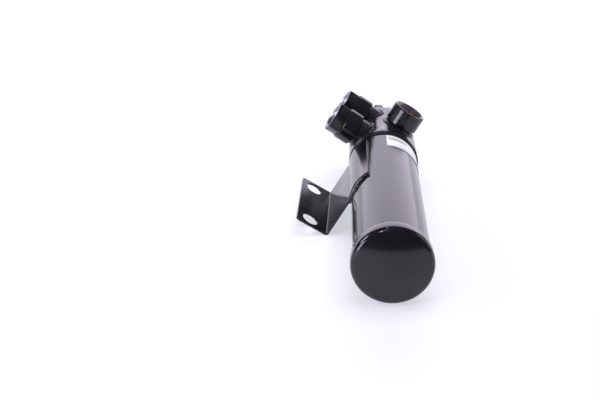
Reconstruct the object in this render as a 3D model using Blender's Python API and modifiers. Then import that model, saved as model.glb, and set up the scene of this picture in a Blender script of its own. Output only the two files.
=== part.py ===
"""Receiver-drier canister of a vehicle air-conditioning circuit, lying on its side.

Everything is laid out in the tank frame: the tank's axis is +Y, and y = 0 is where the bottom cap's
skirt meets the tube's end. The head is at the far end, at high y. Round the tank there are two
square directions: PORT, which the couplings and the bracket's flange follow, and GLASS, which the
sight glass follows. At the end the whole object is set down with the centre of its footprint at the
world's origin.
"""

import math

import bmesh
import bpy
from mathutils import Matrix, Vector

# Clearance between two pieces that touch.
GAP = 0.0003

# Tank.
ROLL = math.radians(30.6)
SHELL_R = 0.038
SHELL_WALL = 0.002
TANK_STEPS = 48
CAP_WALL = 0.002
CAP_SKIRT = 0.0081
CAP_DOME = 0.0165
CAP_CROWN_R = 0.091
CAP_KNUCKLE_R = 0.007
HEAD_Y = 0.2645
HEAD_WALL = 0.0014
HEAD_LIP = 0.013
HEAD_LIP_RISE = 0.0006
HEAD_LIP_TAPER = 0.003
HEAD_DOME = 0.014
HEAD_FLAT_R = 0.018
HEAD_OVERLAP = 0.010
SEAM_BEAD = 0.0030
SEAM_RISE = 0.0015
HEAD_BEAD = 0.0040
HEAD_BEAD_RISE = 0.0019

# Bracket.
SHEET = 0.0023
SADDLE_ANGLE = math.radians(28.3)
BRACKET_TO_HEAD = 0.0105
BRACKET_LENGTH = 0.105
FLANGE_WIDTH = 0.0395
FOLD_SKEW = 0.0064
FOLD_R = 0.0035
FLANGE_CORNER_R = 0.004
SLOT_WIDTH = 0.018
SLOT_LENGTH = 0.020
SLOT_INSET = 0.0235
SLOT_MARGIN = 0.014
EDGE_BEAD_ENDS = 0.004
EDGE_BEAD_MIDDLE = 0.012
EDGE_BEAD_RISE = 0.0019
UNDER_BEAD_R = 0.0014
UNDER_BEAD_INSET = 0.006

# Couplings: how far each is set off along GLASS and stands out from the head, then the shared sizes.
OUTLET_OFFSET = 0.0091
OUTLET_STAND = 0.0056
INLET_OFFSET = 0.0182
INLET_STAND = 0.0012
FIRST_COLLAR_TO_SEAM = 0.0100
LAST_COLLAR_TO_DOME = 0.0003
COUPLING_TILT = math.radians(2.8)
COUPLING_SPIN = math.radians(5)
COUPLING_LENGTH = 0.0317
COLLAR_R = 0.0195
COLLAR_LENGTH = 0.0170
COLLAR_CONE = 0.0015
CORNER_R = 0.0178
COUPLING_FLATS = 0.0320
COUPLING_CHAMFER = 0.0012
FLAT_LENGTH = 0.0139
CHAMBER_R = 0.0130
SOCKET_DEPTH = 0.004
LEDGE = 0.0015
LEDGE_R = 0.008
NECK_R = 0.0165
SPIGOT_R = 0.011
NECK_BORE_R = 0.008
NECK_INTRUSION = 0.002
NECK_BEAD = 0.0024
WELD_RISE = 0.0022
PORT_STEPS = 32

# What sits in a coupling.
GUIDE_THICKNESS = 0.002
STEM_R = 0.0025
STEM_CLEARANCE = 0.0004
FLOW_HOLE_R = 0.0019
POPPET_R = 0.0085
POPPET_THICKNESS = 0.0025
NOSE_R = 0.0065
NOSE_LENGTH = 0.004
STEM_BELOW_GUIDE = 0.004
CAGE_BASE = 0.002
CAGE_CROWN = 0.004
CAGE_SEAT_R = 0.0072
CAGE_CROWN_R = 0.0095
CAGE_SLOT = 0.0045
CAGE_SLOT_DEPTH = 0.0025
SEAL_WIRE_R = 0.0009
POPPET_SPRING_R = 0.0052
POPPET_SPRING_WIRE_R = 0.0005
POPPET_SPRING_LENGTH = 0.008
POPPET_SPRING_TURNS = 3
POPPET_TRAVEL = 0.004

# Sight glass.
BOSS_TO_SEAM = 0.0208
BOSS_R = 0.0197
BOSS_STAND = 0.0013
BOSS_HEIGHT = 0.0202
BOSS_CHAMFER = 0.0014
BOSS_RIM = 0.0030
BOSS_NECK_R = 0.0165
BOSS_BEAD = 0.0050
BOSS_BORE_R = 0.0100
GLASS_R = 0.0135
GLASS_THICKNESS = 0.0035
GASKET_THICKNESS = 0.0010
RING_THICKNESS = 0.0050
RING_BORE_R = 0.0105
RING_SLOT = 0.0050
RING_SLOT_DEPTH = 0.0025
RECESS_DEPTH = 0.0150

# Far-end fittings.
PLUG_X = -0.0038
PLUG_Z = 0.0280
PLUG_BOSS_R = 0.0075
PLUG_BOSS_LENGTH = 0.0130
PLUG_FLATS = 0.0145
PLUG_HEAD = 0.0065
PLUG_SHANK_R = 0.0045
PLUG_WASHER = 0.0010
VALVE_X = 0.0096
VALVE_Z = 0.0300
VALVE_R = 0.0046
VALVE_LENGTH = 0.0210
VALVE_BORE_R = 0.0018
VALVE_FLOOR = 0.0040
VALVE_PIN_R = 0.0010
VALVE_PIN_PROUD = 0.0004
VALVE_PIN_TRAVEL = 0.002
FITTING_DEPTH = 0.008

# Insides.
PLATE_THICKNESS = 0.002
FELT_THICKNESS = 0.008
LOWER_PLATE_Y = 0.040
BED_TO_OUTLET = 0.155
RETAINER_SPRING_LENGTH = 0.040
RETAINER_SPRING_R = 0.024
RETAINER_SPRING_WIRE_R = 0.0012
RETAINER_SPRING_TURNS = 4
PERFORATION_R = 0.0025
PERFORATIONS = ((0.016, 6), (0.027, 8))
PICKUP_R = 0.005
PICKUP_WALL = 0.001
PICKUP_SUMP = 0.004
PICKUP_INTO_NECK = 0.004

# Label.
LABEL_TO_SEAM = 0.0085
LABEL_WIDTH = 0.035
LABEL_START = math.radians(2.5)
LABEL_SWEEP = math.radians(103)
LABEL_THICKNESS = 0.00015

# Sizes that follow from those above.
CUP_INNER_R = SHELL_R + GAP
CAP_R = CUP_INNER_R + CAP_WALL
HEAD_R = CUP_INNER_R + HEAD_WALL
SHELL_INNER_R = SHELL_R - SHELL_WALL
OUTLET_Y = HEAD_Y + FIRST_COLLAR_TO_SEAM + COLLAR_R
INLET_Y = OUTLET_Y + COLLAR_R * 2
OUTLET_PLACE = (OUTLET_Y, OUTLET_OFFSET, math.sqrt(HEAD_R**2 - OUTLET_OFFSET**2) + OUTLET_STAND)
INLET_PLACE = (INLET_Y, INLET_OFFSET, math.sqrt(HEAD_R**2 - INLET_OFFSET**2) + INLET_STAND)
GLASS_Y = HEAD_Y + BOSS_TO_SEAM + BOSS_R
BOSS_FOOT = HEAD_R + BOSS_STAND
BOSS_TOP = BOSS_FOOT + BOSS_HEIGHT
BRACKET_Y = HEAD_Y - BRACKET_TO_HEAD - BRACKET_LENGTH
LABEL_Y = HEAD_Y - LABEL_TO_SEAM - LABEL_WIDTH
BED_LENGTH = OUTLET_Y - BED_TO_OUTLET
HEAD_STRAIGHT_END = INLET_Y + COLLAR_R + LAST_COLLAR_TO_DOME
HEAD_END = HEAD_STRAIGHT_END + HEAD_DOME
SADDLE_MID_R = SHELL_R + GAP + SHEET / 2
WEB_P = SADDLE_MID_R * math.cos(SADDLE_ANGLE)

PORT = Vector((-math.cos(ROLL), 0, math.sin(ROLL)))
GLASS = Vector((math.sin(ROLL), 0, math.cos(ROLL)))
ALONG = Vector((0, 1, 0))
COUPLING_AXIS = PORT * math.cos(COUPLING_TILT) + GLASS * math.sin(COUPLING_TILT)


def clear_scene():
    for obj in list(bpy.data.objects):
        bpy.data.objects.remove(obj)


clear_scene()
PARTS = bpy.data.collections.new("receiver_drier")
CUTTERS = bpy.data.collections.new("cutters")
for collection in (PARTS, CUTTERS):
    bpy.context.scene.collection.children.link(collection)
REST = bpy.data.objects.new("rest_frame", None)
PARTS.objects.link(REST)


# Frames. A frame's Z is the axis that a piece is turned on.
def frame_at(origin, z_axis, x_axis):
    y_axis = z_axis.cross(x_axis)
    turn = Matrix((x_axis, y_axis, z_axis)).transposed().to_4x4()
    return Matrix.Translation(origin) @ turn


def tank_frame(x=0.0, y=0.0, z=0.0):
    return frame_at(Vector((x, y, z)), ALONG, Vector((1, 0, 0)))


def coupling_frame(place):
    along, offset, start = place
    return frame_at(ALONG * along + GLASS * offset + PORT * start, COUPLING_AXIS, -ALONG)


def glass_frame():
    return frame_at(ALONG * GLASS_Y, GLASS, -ALONG)


# Materials.
def paint(name, colour, roughness, metallic):
    material = bpy.data.materials.new(name)
    material.use_nodes = True
    shader = material.node_tree.nodes["Principled BSDF"]
    shader.inputs["Base Color"].default_value = (*colour, 1)
    shader.inputs["Roughness"].default_value = roughness
    shader.inputs["Metallic"].default_value = metallic
    return material


BLACK = (0.012, 0.012, 0.014)
FINISHES = {
    "black_paint": (BLACK, 0.35, 0.0),
    "bare_steel": ((0.45, 0.45, 0.46), 0.35, 1.0),
    "spring_steel": ((0.5, 0.5, 0.5), 0.3, 1.0),
    "brass": ((0.72, 0.50, 0.20), 0.3, 1.0),
    "rubber": ((0.02, 0.02, 0.02), 0.6, 0.0),
    "glass": ((0.8, 0.9, 0.85), 0.05, 0.0),
    "paper": ((0.85, 0.85, 0.87), 0.6, 0.0),
    "felt": ((0.75, 0.73, 0.68), 0.9, 0.0),
    "beads": ((0.70, 0.62, 0.50), 0.8, 0.0),
}


def add_part(name, data, finish, frame):
    obj = bpy.data.objects.new(name, data)
    PARTS.objects.link(obj)
    obj.parent = REST
    obj.matrix_local = frame
    obj.data.materials.append(paint(name, *FINISHES[finish]))
    return obj


def add_cutter(name, data, frame):
    obj = bpy.data.objects.new(name, data)
    CUTTERS.objects.link(obj)
    obj.parent = REST
    obj.matrix_local = frame
    obj.hide_render = True
    obj.display_type = "WIRE"
    return obj


def cut(obj, cutter, operation="DIFFERENCE"):
    boolean = obj.modifiers.new(cutter.name, "BOOLEAN")
    boolean.object = cutter
    boolean.operation = operation
    boolean.solver = "EXACT"


# Shapes.
def arc(centre_r, centre_z, across, along, start, end, steps):
    """Points (radius, height) of an elliptic arc, with its angles in degrees from the radial direction."""
    points = []
    for i in range(steps + 1):
        angle = math.radians(start + (end - start) * i / steps)
        points.append((centre_r + across * math.cos(angle), centre_z + along * math.sin(angle)))
    return points


def profile_mesh(name, points, closed):
    mesh = bpy.data.meshes.new(name)
    bm = bmesh.new()
    verts = [bm.verts.new((radius, 0, height)) for radius, height in points]
    for first, second in zip(verts, verts[1:]):
        bm.edges.new((first, second))
    if closed:
        bm.edges.new((verts[-1], verts[0]))
    bm.to_mesh(mesh)
    bm.free()
    return mesh


def add_screw(obj, steps):
    screw = obj.modifiers.new("turn", "SCREW")
    screw.steps = steps
    screw.render_steps = steps
    screw.use_merge_vertices = True
    screw.merge_threshold = 0.00001
    screw.use_smooth_shade = True


def turned(name, points, finish, frame, steps, closed=True):
    """A turned piece. The profile runs down its outer side, and back up its bore where it is closed."""
    obj = add_part(name, profile_mesh(name, points, closed), finish, frame)
    add_screw(obj, steps)
    return obj


def ring_profile(outer, inner, low, high):
    return [(outer, high), (outer, low), (inner, low), (inner, high)]


def rod_mesh(name, radius, low, high, segments):
    mesh = bpy.data.meshes.new(name)
    bm = bmesh.new()
    bmesh.ops.create_cone(
        bm, cap_ends=True, segments=segments, radius1=radius, radius2=radius, depth=high - low
    )
    bmesh.ops.translate(bm, verts=bm.verts, vec=(0, 0, (high + low) / 2))
    bm.to_mesh(mesh)
    bm.free()
    mesh.shade_smooth()
    mesh.set_sharp_from_angle(angle=math.radians(35))
    return mesh


def boxes_mesh(name, size, places):
    """Separate boxes of one size, each placed by a matrix."""
    mesh = bpy.data.meshes.new(name)
    bm = bmesh.new()
    for place in places:
        bmesh.ops.create_cube(bm, size=1, matrix=place @ Matrix.Diagonal((*size, 1)))
    bm.to_mesh(mesh)
    bm.free()
    return mesh


def rods_mesh(name, radius, low, high, centres, segments):
    mesh = bpy.data.meshes.new(name)
    bm = bmesh.new()
    for x, y in centres:
        bmesh.ops.create_cone(
            bm,
            cap_ends=True,
            segments=segments,
            radius1=radius,
            radius2=radius,
            depth=high - low,
            matrix=Matrix.Translation((x, y, (high + low) / 2)),
        )
    bm.to_mesh(mesh)
    bm.free()
    return mesh


def wire(name, points, radius, finish, frame, resolution=2, caps=True):
    curve = bpy.data.curves.new(name, "CURVE")
    curve.dimensions = "3D"
    curve.bevel_depth = radius
    curve.bevel_resolution = resolution
    curve.use_fill_caps = caps
    spline = curve.splines.new("POLY")
    spline.points.add(len(points) - 1)
    for point, place in zip(spline.points, points):
        point.co = (*place, 1)
    return add_part(name, curve, finish, frame)


def coil_points(radius, low, high, turns, per_turn=12):
    count = turns * per_turn
    points = []
    for i in range(count + 1):
        angle = 2 * math.pi * i / per_turn
        height = low + (high - low) * i / count
        points.append((radius * math.cos(angle), radius * math.sin(angle), height))
    return points


def on_circle(radius, count, turn=0.0):
    angles = [turn + 2 * math.pi * i / count for i in range(count)]
    return [(radius * math.cos(a), radius * math.sin(a)) for a in angles]


# Tank.
def dome(outer_r, flat_r, depth, steps, sign):
    """Half a dished end, from its straight skirt to the edge of its flat middle."""
    return arc(flat_r, 0, outer_r - flat_r, sign * depth, 0, 90, steps)


def shell_tube():
    profile = ring_profile(SHELL_R, SHELL_INNER_R, GAP, HEAD_Y + HEAD_OVERLAP)
    turned("shell_tube", profile, "black_paint", tank_frame(), TANK_STEPS)


def dished(rim_r, knuckle_r, crown_r, face):
    """Half a dished end that faces -Z, from its straight wall to its middle: a tight knuckle, then a shallow crown."""
    lean = math.asin((rim_r - knuckle_r) / (crown_r - knuckle_r))
    centre = face + crown_r
    knuckle_z = centre - (crown_r - knuckle_r) * math.cos(lean)
    turn = 90 - math.degrees(lean)
    knuckle = arc(rim_r - knuckle_r, knuckle_z, knuckle_r, -knuckle_r, 0, turn, 6)
    crown = arc(0, centre, crown_r, -crown_r, turn, 90, 4)
    return knuckle + crown[1:-1] + [(0, face)]


def bottom_cap():
    outside = dished(CAP_R, CAP_KNUCKLE_R, CAP_CROWN_R, -CAP_DOME)
    inside = dished(CUP_INNER_R, CAP_KNUCKLE_R - CAP_WALL, CAP_CROWN_R - CAP_WALL, CAP_WALL - CAP_DOME)
    profile = inside[::-1] + [(CUP_INNER_R, CAP_SKIRT), (CAP_R, CAP_SKIRT)] + outside
    turned("bottom_cap", profile, "black_paint", tank_frame(), TANK_STEPS, closed=False)


def bead_profile(foot_r, rise, low, high, steps):
    """Section of a weld bead that lies on a round wall: a flat foot and a rounded top."""
    middle = (low + high) / 2
    crown = arc(foot_r, middle, rise, (high - low) / 2, 90, -90, steps)
    return crown


def seam_welds():
    low = CAP_SKIRT + GAP
    profile = bead_profile(CUP_INNER_R, SEAM_RISE, low, low + SEAM_BEAD, 6)
    turned("bottom_seam_weld", profile, "black_paint", tank_frame(), TANK_STEPS)
    high = HEAD_Y - GAP
    profile = bead_profile(CUP_INNER_R, HEAD_BEAD_RISE, high - HEAD_BEAD, high, 6)
    turned("head_seam_weld", profile, "black_paint", tank_frame(), TANK_STEPS)


def head_cup():
    shift = HEAD_STRAIGHT_END
    outside = [(r, z + shift) for r, z in dome(HEAD_R, HEAD_FLAT_R, HEAD_DOME, 8, 1)]
    inside = [(r, z + shift) for r, z in dome(CUP_INNER_R, HEAD_FLAT_R, HEAD_DOME - HEAD_WALL, 7, 1)]
    lip_r = HEAD_R + HEAD_LIP_RISE
    lip_end = HEAD_Y + HEAD_LIP
    profile = [(0, HEAD_END)] + outside[::-1]
    profile += [(HEAD_R, lip_end + HEAD_LIP_TAPER), (lip_r, lip_end), (lip_r, HEAD_Y)]
    profile += [(CUP_INNER_R, HEAD_Y)] + inside + [(0, HEAD_END - HEAD_WALL)]
    head = turned("head_cup", profile, "black_paint", tank_frame(), TANK_STEPS, closed=False)
    for name, place in (("inlet", INLET_PLACE), ("outlet", OUTLET_PLACE)):
        hole = rod_mesh(name + "_hole", NECK_R + GAP, -place[2] * 0.9, COUPLING_LENGTH, PORT_STEPS)
        cut(head, add_cutter(name + "_hole", hole, coupling_frame(place)))
    hole = rod_mesh("glass_hole", BOSS_NECK_R + GAP, HEAD_R / 2, BOSS_TOP, PORT_STEPS)
    cut(head, add_cutter("glass_hole", hole, glass_frame()))
    for name, x, z, radius in (
        ("plug_hole", PLUG_X, PLUG_Z, PLUG_BOSS_R),
        ("valve_hole", VALVE_X, VALVE_Z, VALVE_R),
    ):
        hole = rod_mesh(name, radius + GAP, HEAD_STRAIGHT_END - FITTING_DEPTH, HEAD_END + FITTING_DEPTH, 24)
        cut(head, add_cutter(name, hole, tank_frame(x, 0, z)))


# Bracket.
def tank_point(port, glass, along):
    return PORT * port + GLASS * glass + ALONG * along


def fold_drop():
    """How far along -GLASS the flange's middle plane lies, so that the fold's near end reaches the table."""
    middle_r = FOLD_R - SHEET / 2
    centre_p = WEB_P + middle_r
    return -((CAP_R - FOLD_R + centre_p * math.sin(ROLL)) / math.cos(ROLL) + middle_r)


def bracket_path():
    """The sheet's middle line across the tank, as (PORT, GLASS): saddle, web, fold and flange."""
    path = []
    for i in range(13):
        angle = SADDLE_ANGLE * (1 - 2 * i / 12)
        path.append((SADDLE_MID_R * math.cos(angle), SADDLE_MID_R * math.sin(angle)))
    middle_r = FOLD_R - SHEET / 2
    flange_q = fold_drop()
    fold = arc(WEB_P + middle_r, flange_q + middle_r, middle_r, middle_r, 180, 270, 4)
    end = (WEB_P - SHEET / 2 + FLANGE_WIDTH, flange_q)
    return path, fold + [end]


def mounting_bracket():
    saddle, flange = bracket_path()
    bm = bmesh.new()
    near = [bm.verts.new(tank_point(p, q, BRACKET_Y)) for p, q in saddle + flange]
    edges = [bm.edges.new(pair) for pair in zip(near, near[1:])]
    made = bmesh.ops.extrude_edge_only(bm, edges=edges)
    far = [item for item in made["geom"] if isinstance(item, bmesh.types.BMVert)]
    bmesh.ops.translate(bm, verts=far, vec=ALONG * BRACKET_LENGTH)
    skewed = [vert for vert in far if vert.co.dot(GLASS) < saddle[-1][1] - SHEET]
    bmesh.ops.translate(bm, verts=skewed, vec=GLASS * FOLD_SKEW)
    tip = WEB_P - SHEET / 2 + FLANGE_WIDTH
    corners = [vert for vert in bm.verts if vert.co.dot(PORT) > tip - SHEET]
    bmesh.ops.bevel(
        bm, geom=corners, offset=FLANGE_CORNER_R, segments=4, affect="VERTICES", profile=0.5, material=-1
    )
    mesh = bpy.data.meshes.new("mounting_bracket")
    bm.to_mesh(mesh)
    bm.free()
    bracket = add_part("mounting_bracket", mesh, "black_paint", Matrix())
    solidify = bracket.modifiers.new("sheet", "SOLIDIFY")
    solidify.thickness = SHEET
    solidify.offset = 0
    solidify.use_even_offset = True
    for i, along in enumerate((SLOT_MARGIN, BRACKET_LENGTH - SLOT_MARGIN)):
        name = f"slot_{i + 1}"
        cut(bracket, add_cutter(name, slot_mesh(name), slot_frame(along)))


def slot_frame(along):
    drop = fold_drop() + FOLD_SKEW * along / BRACKET_LENGTH
    centre = tank_point(WEB_P - SHEET / 2 + SLOT_INSET, drop, BRACKET_Y + along)
    run = (ALONG * BRACKET_LENGTH + GLASS * FOLD_SKEW).normalized()
    return frame_at(centre, run.cross(PORT) * -1, run)


def slot_mesh(name):
    """An obround that is long along the fold, and passes right through the sheet."""
    bm = bmesh.new()
    bmesh.ops.create_cone(
        bm,
        cap_ends=True,
        segments=24,
        radius1=SLOT_WIDTH / 2,
        radius2=SLOT_WIDTH / 2,
        depth=SHEET * 4,
        matrix=Matrix.Rotation(math.pi / 24, 4, "Z"),
    )
    stretch = (SLOT_LENGTH - SLOT_WIDTH) / 2
    for vert in bm.verts:
        vert.co.x += stretch if vert.co.x > 0 else -stretch
    mesh = bpy.data.meshes.new(name)
    bm.to_mesh(mesh)
    bm.free()
    return mesh


def edge_bead_width(angle):
    """The bead is widest half way round the saddle."""
    return EDGE_BEAD_ENDS + (EDGE_BEAD_MIDDLE - EDGE_BEAD_ENDS) * math.cos(angle / SADDLE_ANGLE * math.pi / 2) ** 2


def bracket_edge_weld():
    """A bead laid against the saddle's near edge, with one row of points at that edge and one at its toe."""
    radius = SHELL_R + GAP + EDGE_BEAD_RISE / 2
    bm = bmesh.new()
    rows = []
    for i in range(13):
        angle = SADDLE_ANGLE * (1 - 2 * i / 12)
        across = (radius * math.cos(angle), radius * math.sin(angle))
        edge = BRACKET_Y - GAP
        pair = (edge, edge - edge_bead_width(angle))
        rows.append([bm.verts.new(tank_point(*across, y)) for y in pair])
    for (a, b), (c, d) in zip(rows, rows[1:]):
        bm.faces.new((a, b, d, c))
    bmesh.ops.recalc_face_normals(bm, faces=bm.faces)
    mesh = bpy.data.meshes.new("bracket_edge_weld")
    bm.to_mesh(mesh)
    bm.free()
    weld = add_part("bracket_edge_weld", mesh, "black_paint", Matrix())
    solidify = weld.modifiers.new("bead", "SOLIDIFY")
    solidify.thickness = EDGE_BEAD_RISE
    solidify.offset = 0


def bracket_under_weld():
    under_p = WEB_P - SHEET / 2 - GAP - UNDER_BEAD_R
    under_r = SHELL_R + GAP + UNDER_BEAD_R
    under_q = -math.sqrt(under_r**2 - under_p**2)
    ends = (BRACKET_Y + UNDER_BEAD_INSET, BRACKET_Y + BRACKET_LENGTH - UNDER_BEAD_INSET)
    points = [tank_point(under_p, under_q, y) for y in ends]
    wire("bracket_under_weld", points, UNDER_BEAD_R, "black_paint", Matrix())


# Couplings and their valves.
def coupling_body(name, frame):
    low_bore = SOCKET_DEPTH + LEDGE
    top = COUPLING_LENGTH
    edge = CORNER_R - COUPLING_CHAMFER
    profile = [
        (edge, top),
        (CORNER_R, top - COUPLING_CHAMFER),
        (CORNER_R, COLLAR_LENGTH + COLLAR_CONE),
        (COLLAR_R, COLLAR_LENGTH),
        (COLLAR_R, COUPLING_CHAMFER),
        (COLLAR_R - COUPLING_CHAMFER, 0),
        (SPIGOT_R + GAP, 0),
        (SPIGOT_R + GAP, SOCKET_DEPTH),
        (LEDGE_R, SOCKET_DEPTH),
        (LEDGE_R, low_bore),
        (CHAMBER_R, low_bore),
        (CHAMBER_R, top),
    ]
    body = turned(name + "_coupling", profile, "black_paint", frame, PORT_STEPS)
    size = (COLLAR_R - COUPLING_FLATS / 2 + 0.002, COUPLING_FLATS * 0.55, FLAT_LENGTH + 0.002)
    centre_r = COUPLING_FLATS / 2 + size[0] / 2
    places = []
    for i in range(6):
        turn = Matrix.Rotation(COUPLING_SPIN + math.radians(60 * i), 4, "Z")
        shift = Matrix.Translation((centre_r, 0, top - FLAT_LENGTH + size[2] / 2))
        places.append(turn @ shift)
    cut(body, add_cutter(name + "_flats", boxes_mesh(name + "_flats", size, places), frame))
    return body


def tank_cylinder(name, radius):
    return add_cutter(name, rod_mesh(name, radius, HEAD_Y, HEAD_STRAIGHT_END, TANK_STEPS * 2), tank_frame())


def fit_to_head(obj, clearance):
    """Cuts the piece back from the outside of the head's round wall."""
    cut(obj, tank_cylinder(obj.name + "_relief", HEAD_R + clearance))


def end_inside_head(obj):
    """Ends a stub just inside the head's wall, along the wall's curve."""
    cut(obj, tank_cylinder(obj.name + "_end", CUP_INNER_R - NECK_INTRUSION))


def lay_on_head(obj):
    """Keeps only what lies within a weld's height of the head's wall and its raised lip."""
    fit_to_head(obj, HEAD_LIP_RISE + GAP)
    cut(obj, tank_cylinder(obj.name + "_top", HEAD_R + WELD_RISE), "INTERSECT")


def coupling_neck(name, frame, place):
    low = -place[2] * 0.9
    profile = [
        (SPIGOT_R, SOCKET_DEPTH - GAP),
        (SPIGOT_R, -GAP),
        (NECK_R, -GAP),
        (NECK_R, low),
        (NECK_BORE_R, low),
        (NECK_BORE_R, SOCKET_DEPTH - GAP),
    ]
    neck = turned(name + "_neck", profile, "black_paint", frame, PORT_STEPS)
    end_inside_head(neck)
    profile = ring_profile(NECK_R + GAP + NECK_BEAD, NECK_R + GAP, low, -GAP)
    lay_on_head(turned(name + "_neck_weld", profile, "black_paint", frame, PORT_STEPS))


def coupling_valve(name, frame):
    floor = SOCKET_DEPTH + LEDGE
    fit_r = CHAMBER_R - GAP
    guide_low = floor + GAP
    guide_high = guide_low + GUIDE_THICKNESS
    profile = ring_profile(fit_r, STEM_R + STEM_CLEARANCE, guide_low, guide_high)
    guide = turned(name + "_guide", profile, "bare_steel", frame, PORT_STEPS)
    middle = (STEM_R + LEDGE_R) / 2
    centres = on_circle(middle, 4, math.radians(45))
    holes = rods_mesh(name + "_flow", FLOW_HOLE_R, guide_low - GAP, guide_high + GAP, centres, 10)
    cut(guide, add_cutter(name + "_flow", holes, frame))

    spring_low = guide_high + GAP + POPPET_SPRING_WIRE_R
    spring_high = spring_low + POPPET_SPRING_LENGTH
    points = coil_points(POPPET_SPRING_R, spring_low, spring_high, POPPET_SPRING_TURNS)
    wire(name + "_poppet_spring", points, POPPET_SPRING_WIRE_R, "spring_steel", frame, resolution=1)

    head_low = spring_high + POPPET_SPRING_WIRE_R + GAP
    head_high = head_low + POPPET_THICKNESS
    nose = head_high + NOSE_LENGTH
    profile = [
        (0, nose),
        (NOSE_R - 0.001, nose),
        (NOSE_R, nose - 0.001),
        (NOSE_R, head_high),
        (POPPET_R, head_high),
        (POPPET_R, head_low),
        (STEM_R, head_low),
        (STEM_R, guide_low - STEM_BELOW_GUIDE),
        (0, guide_low - STEM_BELOW_GUIDE),
    ]
    turned(name + "_poppet", profile, "brass", frame, 24, closed=False)

    cage_low = head_high + GAP
    base_high = cage_low + CAGE_BASE
    crown_high = base_high + CAGE_CROWN
    profile = [
        (fit_r, crown_high),
        (fit_r, cage_low),
        (CAGE_SEAT_R, cage_low),
        (CAGE_SEAT_R, base_high),
        (CAGE_CROWN_R, base_high),
        (CAGE_CROWN_R, crown_high),
    ]
    cage = turned(name + "_cage", profile, "bare_steel", frame, PORT_STEPS)
    length = CHAMBER_R * 2 + 0.002
    size = (length, CAGE_SLOT, CAGE_SLOT_DEPTH * 2)
    star = [Matrix.Translation((0, 0, crown_high)) @ Matrix.Rotation(math.radians(60 * i), 4, "Z") for i in range(3)]
    for i, place in enumerate(star):
        label = f"{name}_crown_{i + 1}"
        cut(cage, add_cutter(label, boxes_mesh(label, size, [place]), frame))

    seal_r = (CAGE_CROWN_R + NOSE_R) / 2
    seal_z = base_high + GAP + SEAL_WIRE_R
    section = arc(seal_r, seal_z, SEAL_WIRE_R, SEAL_WIRE_R, 90, -270, 8)[:-1]
    turned(name + "_seal", section, "rubber", frame, 24)


def couplings():
    for name, place in (("inlet", INLET_PLACE), ("outlet", OUTLET_PLACE)):
        frame = coupling_frame(place)
        fit_to_head(coupling_body(name, frame), HEAD_LIP_RISE + GAP)
        coupling_neck(name, frame, place)
        coupling_valve(name, frame)


# Sight glass.
def sight_glass():
    frame = glass_frame()
    floor = BOSS_TOP - RECESS_DEPTH
    recess_r = BOSS_R - BOSS_RIM
    low = HEAD_R / 2
    edge = BOSS_R - BOSS_CHAMFER
    profile = [
        (edge, BOSS_TOP),
        (BOSS_R, BOSS_TOP - BOSS_CHAMFER),
        (BOSS_R, BOSS_FOOT + GAP),
        (BOSS_NECK_R, BOSS_FOOT + GAP),
        (BOSS_NECK_R, low),
        (BOSS_BORE_R, low),
        (BOSS_BORE_R, floor),
        (recess_r, floor),
        (recess_r, BOSS_TOP),
    ]
    end_inside_head(turned("sight_glass_boss", profile, "black_paint", frame, PORT_STEPS + 8))
    profile = ring_profile(BOSS_NECK_R + GAP + BOSS_BEAD, BOSS_NECK_R + GAP, low, BOSS_FOOT)
    lay_on_head(turned("sight_glass_weld", profile, "black_paint", frame, PORT_STEPS))

    gasket = floor + GAP
    ring = ring_profile(GLASS_R, BOSS_BORE_R, gasket, gasket + GASKET_THICKNESS)
    turned("sight_glass_gasket", ring, "rubber", frame, 24)
    lens = gasket + GASKET_THICKNESS + GAP
    lens_top = lens + GLASS_THICKNESS
    profile = [(0, lens_top), (GLASS_R, lens_top), (GLASS_R, lens), (0, lens)]
    turned("sight_glass_lens", profile, "glass", frame, 24, closed=False)

    low = lens_top + GAP
    high = low + RING_THICKNESS
    profile = ring_profile(recess_r - GAP, RING_BORE_R, low, high)
    brass = turned("sight_glass_ring", profile, "brass", frame, PORT_STEPS)
    size = (recess_r * 2 + 0.002, RING_SLOT, RING_SLOT_DEPTH * 2)
    for i in range(3):
        label = f"ring_slot_{i + 1}"
        place = Matrix.Translation((0, 0, high)) @ Matrix.Rotation(math.radians(60 * i), 4, "Z")
        cut(brass, add_cutter(label, boxes_mesh(label, size, [place]), frame))


# Far-end fittings.
def fusible_plug():
    frame = tank_frame(PLUG_X, 0, PLUG_Z)
    low = HEAD_END - PLUG_BOSS_LENGTH + 0.003
    high = low + PLUG_BOSS_LENGTH
    profile = ring_profile(PLUG_BOSS_R, PLUG_SHANK_R + GAP, low, high)
    turned("fusible_plug_boss", profile, "black_paint", frame, 24)
    washer = high + GAP
    profile = ring_profile(PLUG_BOSS_R - 0.0005, PLUG_SHANK_R + GAP, washer, washer + PLUG_WASHER)
    turned("fusible_plug_washer", profile, "bare_steel", frame, 24)
    seat = washer + PLUG_WASHER + GAP
    corner_r = PLUG_FLATS / 2 / math.cos(math.radians(30))
    bm = bmesh.new()
    made = bmesh.ops.create_cone(
        bm, cap_ends=True, segments=6, radius1=corner_r, radius2=corner_r, depth=PLUG_HEAD
    )
    bmesh.ops.rotate(bm, verts=made["verts"], matrix=Matrix.Rotation(math.radians(30), 3, "Z"))
    bmesh.ops.translate(bm, verts=made["verts"], vec=(0, 0, seat + PLUG_HEAD / 2))
    mesh = bpy.data.meshes.new("fusible_plug")
    bm.to_mesh(mesh)
    bm.free()
    plug = add_part("fusible_plug", mesh, "brass", frame)
    shank = rod_mesh("plug_shank", PLUG_SHANK_R, low + 0.001, seat + PLUG_HEAD / 2, 20)
    cut(plug, add_cutter("plug_shank", shank, frame), "UNION")


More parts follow.
